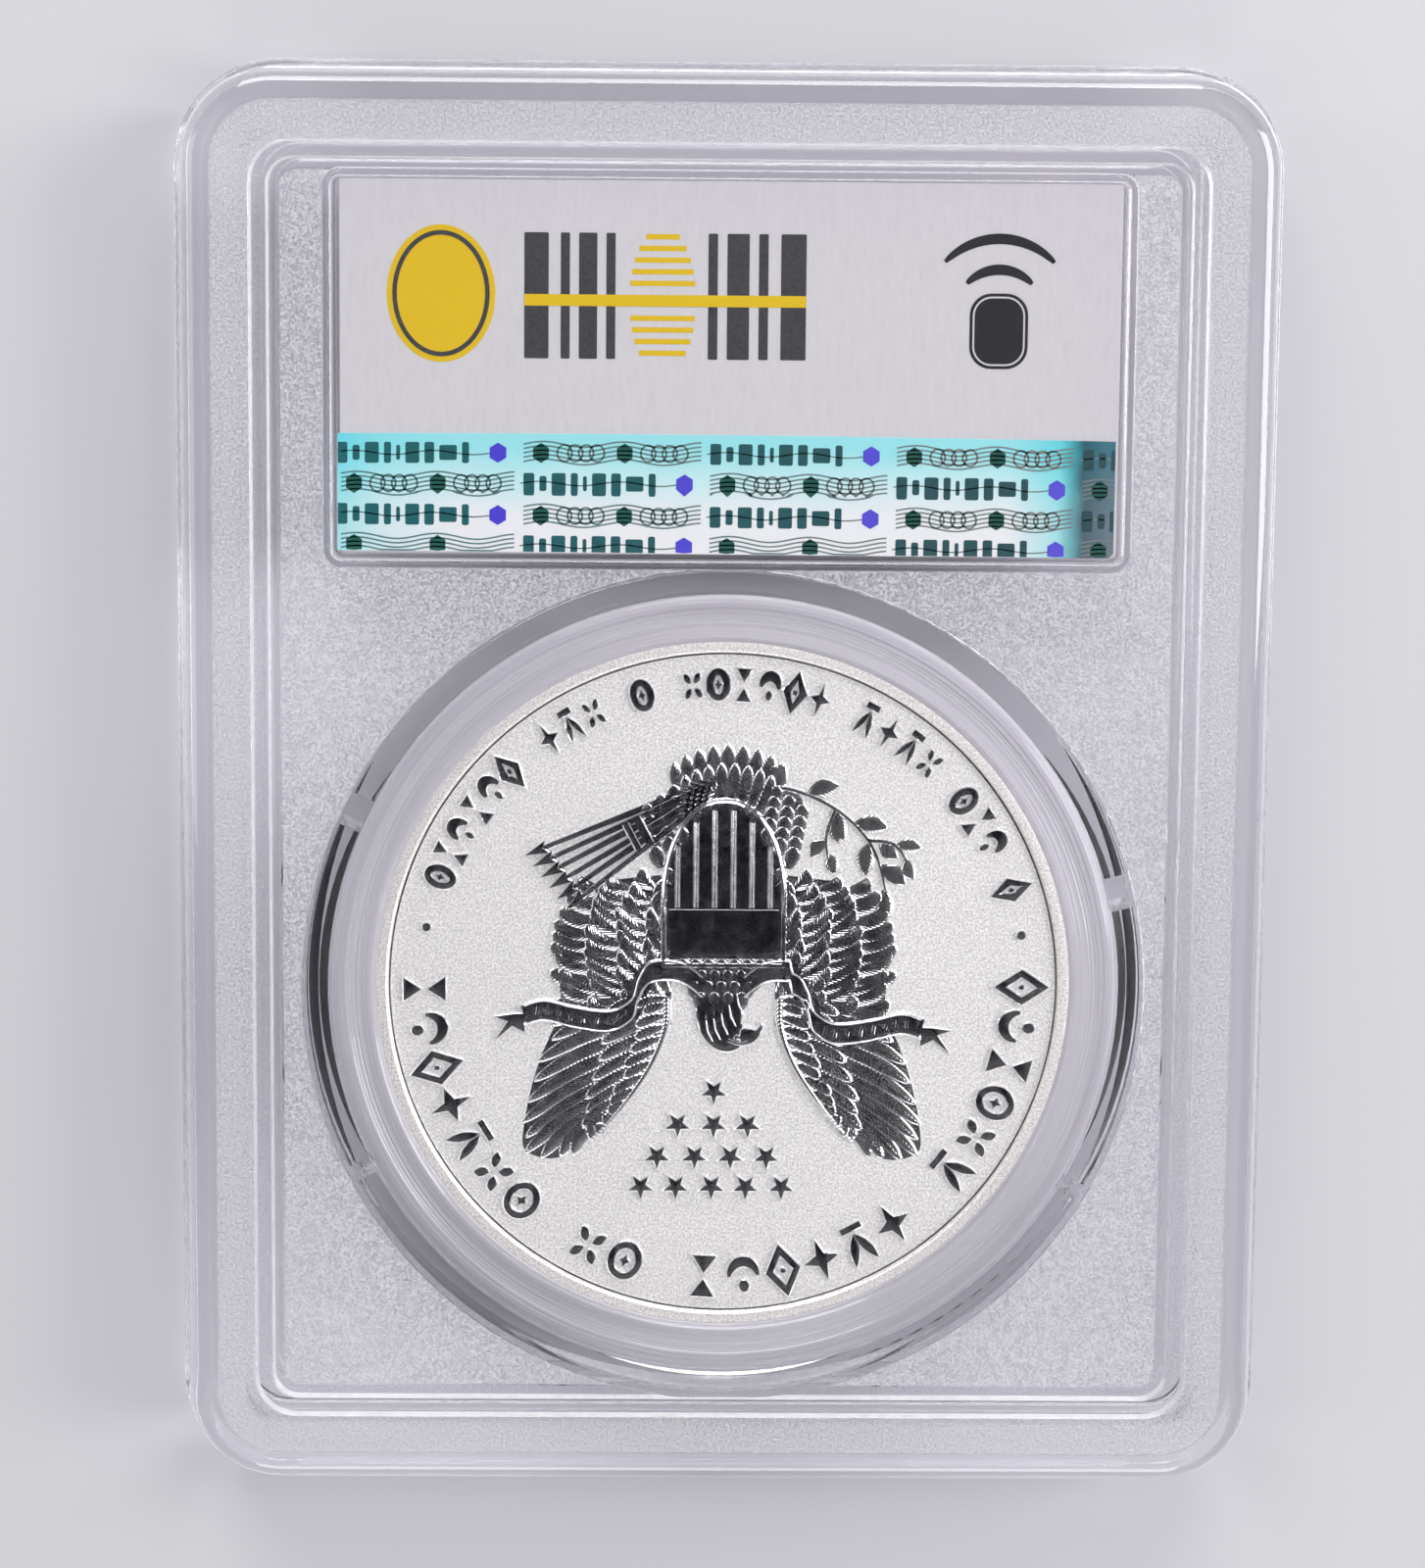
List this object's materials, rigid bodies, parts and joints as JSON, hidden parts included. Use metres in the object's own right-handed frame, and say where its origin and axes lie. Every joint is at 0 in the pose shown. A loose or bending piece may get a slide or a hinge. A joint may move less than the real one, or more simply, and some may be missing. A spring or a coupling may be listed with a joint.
{
  "type": "graded coin slab",
  "caption": "Sealed clear plastic holder with stepped stacking rims, a label window and a round window over a silver coin held in a gasket ring.",
  "frame": {"origin": "middle of the footprint at the lowest level, with the slab lying on its front face", "axes": "+Z out of the slab's back, +Y towards the label end, +X to the right seen from the back"},
  "size_m": [0.0636, 0.083, 0.008],
  "materials": {
    "shell_plastic": "clear, polished rims and windows, frosted panel",
    "ring_plastic": "clear, soft gloss",
    "silver": "frosted field with mirror relief",
    "label_card": "smooth matt card",
    "adhesive": "matt",
    "security_foil": "iridescent embossed foil",
    "tag_film": "thin film",
    "antenna_metal": "etched foil",
    "chip": "matt"
  },
  "bodies": {
    "holder": {"front_shell": "shell_plastic", "back_shell": "shell_plastic", "coin_ring": "ring_plastic", "front_label": "label_card", "back_label": "label_card", "label_adhesive": "adhesive", "security_strip": "security_foil", "tag_film": "tag_film", "tag_antenna": "antenna_metal", "tag_chip": "chip"},
    "coin": {"coin": "silver"}
  },
  "joints": [
    {"name": "coin_turn", "type": "hinge", "parent": "holder", "child": "coin", "pos_m": [0, -0.0116, 0.004], "axis": [0, 0, 1], "continuous": true}
  ]
}
